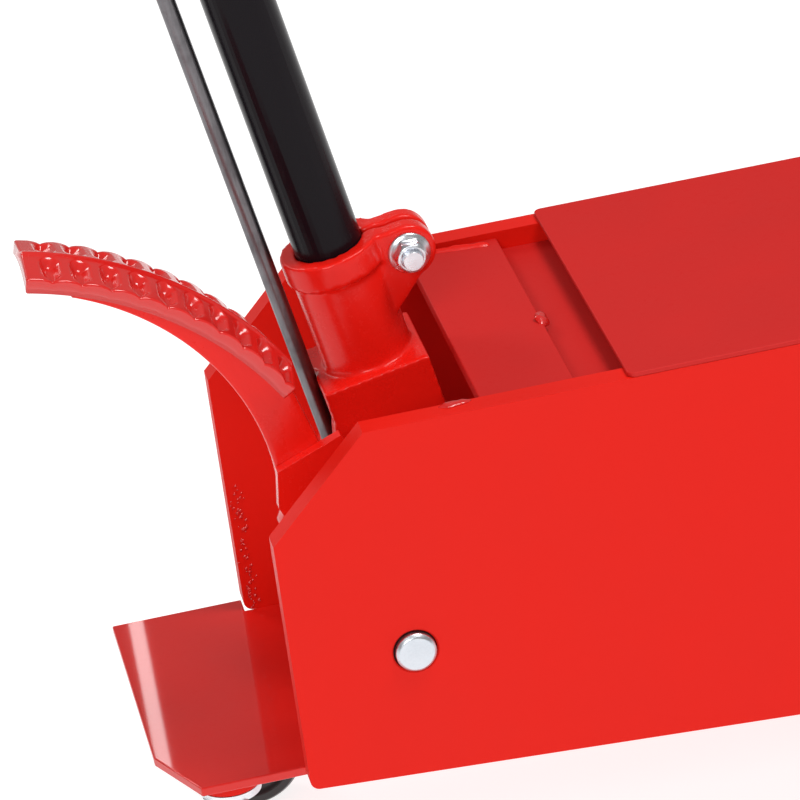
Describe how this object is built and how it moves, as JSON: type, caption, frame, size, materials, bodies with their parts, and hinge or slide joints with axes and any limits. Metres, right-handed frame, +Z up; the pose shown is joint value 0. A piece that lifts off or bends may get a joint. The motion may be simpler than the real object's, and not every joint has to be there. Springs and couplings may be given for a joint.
{
  "type": "trolley jack",
  "caption": "Long-chassis trolley jack: side-plate frame on wheels and castors, lever pump handle with twist release rod, foot pedal, lift arm and level saddle.",
  "frame": {"origin": "on the floor, below the middle of the overall length, in the middle plane between the side plates", "axes": "+X towards the saddle end, +Y to the side away from the foot pedal, +Z up"},
  "size_m": [1.2538, 0.388, 1.3539],
  "materials": {
    "chassis_red": "gloss red enamel over steel plate and castings",
    "cover_red": "satin red enamel over sheet steel",
    "black_enamel": "gloss black enamel",
    "zinc_steel": "bright zinc plate",
    "bare_steel": "turned bare steel with a film of oil",
    "polished_steel": "ground and hard-chromed",
    "spring_steel": "oiled spring wire",
    "rubber_black": "moulded rubber",
    "roller_tread": "moulded nylon",
    "brass_plug": "turned brass"
  },
  "bodies": {
    "chassis": {"side_plate_near": "chassis_red", "side_plate_far": "chassis_red", "top_cover": "cover_red", "rear_cross_plate": "cover_red", "base_plate": "chassis_red", "belly_plate": "chassis_red", "front_cross_plate": "chassis_red", "ram_cradle": "chassis_red", "yoke_pins": "zinc_steel", "arm_shaft": "bare_steel", "shaft_collars": "bare_steel", "link_anchors": "bare_steel", "front_axle": "bare_steel", "axle_washers": "zinc_steel", "axle_nuts": "zinc_steel", "hydraulic_block": "chassis_red", "block_bolts": "zinc_steel", "ram_cylinder": "chassis_red", "ram_gland": "bare_steel", "oil_tank": "chassis_red", "filler_plug": "brass_plug", "valve_gland": "bare_steel", "pump_gland": "bare_steel", "castor_housings": "chassis_red", "pedal_spring": "spring_steel", "pump_spring": "spring_steel"},
    "handle": {"yoke": "chassis_red", "clamp_bolt": "zinc_steel", "clamp_nut": "zinc_steel", "handle_tube": "black_enamel", "handle_crossbar": "black_enamel", "handle_grips": "rubber_black", "rod_guides": "black_enamel", "pump_roller": "bare_steel"},
    "release": {"release_rod": "bare_steel", "release_knob": "rubber_black", "drive_pin": "bare_steel"},
    "valve": {"valve_spindle": "bare_steel"},
    "pedal": {"pedal_casting": "chassis_red", "pedal_plate": "chassis_red", "pedal_boss": "chassis_red"},
    "pump": {"pump_plunger": "polished_steel", "plunger_head": "bare_steel"},
    "ram": {"piston_rod": "polished_steel", "crosshead": "bare_steel"},
    "arm": {"arm_cheeks": "chassis_red", "arm_hub": "chassis_red", "arm_webs": "chassis_red", "lever_pin": "bare_steel", "bracket_pin": "bare_steel"},
    "links": {"link_bars": "chassis_red"},
    "bracket": {"saddle_bracket": "chassis_red", "link_pin": "bare_steel"},
    "saddle": {"saddle": "black_enamel"},
    "wheel_near": {"front_wheel_near": "black_enamel"},
    "wheel_far": {"front_wheel_far": "black_enamel"},
    "fork_near": {"castor_fork_near": "zinc_steel"},
    "fork_far": {"castor_fork_far": "zinc_steel"},
    "roller_near": {"castor_wheel_near": "roller_tread"},
    "roller_far": {"castor_wheel_far": "roller_tread"}
  },
  "joints": [
    {"name": "handle_fold", "type": "hinge", "parent": "chassis", "child": "handle", "pos_m": [-0.39747, 0, 0.1835], "axis": [0, -1, 0], "range_deg": [-5, 50]},
    {"name": "release_twist", "type": "hinge", "parent": "handle", "child": "release", "pos_m": [-0.39747, 0, 0.1835], "axis": [-0.1874, 0, 0.9823], "range_deg": [-30, 30]},
    {"name": "valve_turn", "type": "hinge", "parent": "chassis", "child": "valve", "pos_m": [-0.39747, 0, 0.1835], "axis": [-0.5446, 0, 0.8387], "range_deg": [-30, 30]},
    {"name": "pedal_press", "type": "hinge", "parent": "chassis", "child": "pedal", "pos_m": [-0.39747, 0, 0.1835], "axis": [0, -1, 0], "range_deg": [0, 25], "stiffness_Nm_per_rad": 12, "springref_deg": -34.38},
    {"name": "pump_slide", "type": "slide", "parent": "chassis", "child": "pump", "axis": [1, 0, 0], "range_m": [-0.0036, 0.035], "deforming": ["pump_spring"]},
    {"name": "arm_lift", "type": "hinge", "parent": "chassis", "child": "arm", "pos_m": [0.11803, 0, 0.255], "axis": [0, -1, 0], "range_deg": [0, 60]},
    {"name": "ram_slide", "type": "slide", "parent": "chassis", "child": "ram", "axis": [1, 0, 0], "range_m": [0, 0.0951]},
    {"name": "link_swing", "type": "hinge", "parent": "chassis", "child": "links", "pos_m": [0.14053, 0, 0.216], "axis": [0, -1, 0], "range_deg": [0, 60]},
    {"name": "bracket_level", "type": "hinge", "parent": "arm", "child": "bracket", "pos_m": [0.56694, 0, 0.12628], "axis": [0, -1, 0], "range_deg": [-60, 0]},
    {"name": "saddle_swivel", "type": "hinge", "parent": "bracket", "child": "saddle", "pos_m": [0.56694, 0, 0.17128], "axis": [0, 0, 1], "continuous": true},
    {"name": "wheel_near_spin", "type": "hinge", "parent": "chassis", "child": "wheel_near", "pos_m": [0.49303, -0.158, 0.08], "axis": [0, 1, 0], "continuous": true},
    {"name": "wheel_far_spin", "type": "hinge", "parent": "chassis", "child": "wheel_far", "pos_m": [0.49303, 0.158, 0.08], "axis": [0, 1, 0], "continuous": true},
    {"name": "castor_near_swivel", "type": "hinge", "parent": "chassis", "child": "fork_near", "pos_m": [-0.51397, -0.06, 0.083], "axis": [0, 0, 1], "continuous": true},
    {"name": "castor_far_swivel", "type": "hinge", "parent": "chassis", "child": "fork_far", "pos_m": [-0.51397, 0.06, 0.083], "axis": [0, 0, 1], "continuous": true},
    {"name": "castor_near_roll", "type": "hinge", "parent": "fork_near", "child": "roller_near", "pos_m": [-0.53797, -0.06, 0.034], "axis": [0, 1, 0], "continuous": true},
    {"name": "castor_far_roll", "type": "hinge", "parent": "fork_far", "child": "roller_far", "pos_m": [-0.48997, 0.06, 0.034], "axis": [0, 1, 0], "continuous": true}
  ],
  "couplings": [
    {"joint": "pump_slide", "follows": "handle_fold", "m_per_rad": 0.04},
    {"joint": "valve_turn", "follows": "release_twist", "ratio": 1},
    {"joint": "ram_slide", "follows": "arm_lift", "m_per_rad": 0.09072},
    {"joint": "link_swing", "follows": "arm_lift", "ratio": 1},
    {"joint": "bracket_level", "follows": "arm_lift", "ratio": -1}
  ]
}
